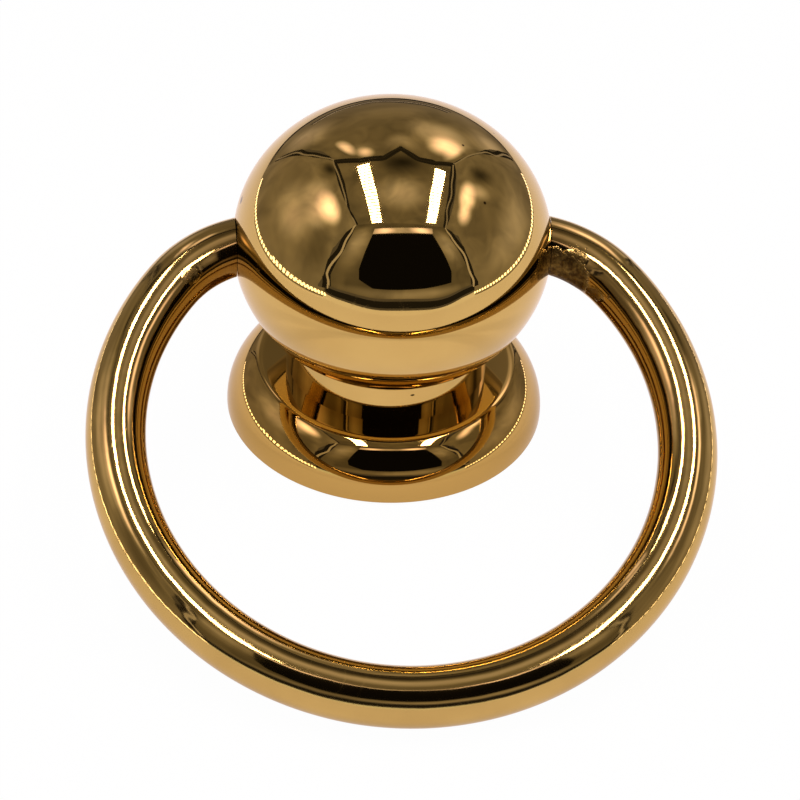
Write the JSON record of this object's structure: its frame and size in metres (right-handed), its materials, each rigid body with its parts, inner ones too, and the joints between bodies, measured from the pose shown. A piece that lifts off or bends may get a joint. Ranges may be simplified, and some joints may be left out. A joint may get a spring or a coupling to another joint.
{
  "type": "ring pull handle",
  "caption": "Solid brass pull: a flattened ball on a short neck and a domed round foot, with a ring that swings on pegs in the ball; a screw from behind fixes it to a drawer or door.",
  "frame": {"origin": "centre of the foot's flat back, on the axis of the screw hole", "axes": "+Z out from the drawer front through the ball; X along the ring's swing axis; the ring lies over -Y"},
  "size_m": [0.0496, 0.0529, 0.0283],
  "materials": {
    "post_brass": "turned and mirror polished",
    "ring_brass": "cast and hand polished, with rough casting skin left by the ends"
  },
  "bodies": {
    "post": {"ball_post": "post_brass"},
    "ring": {"pull_ring": "ring_brass"}
  },
  "joints": [
    {"name": "ring_swing", "type": "hinge", "parent": "post", "child": "ring", "pos_m": [0, 0, 0.0168], "axis": [-1, 0, 0], "range_deg": [0, 222.35]}
  ]
}
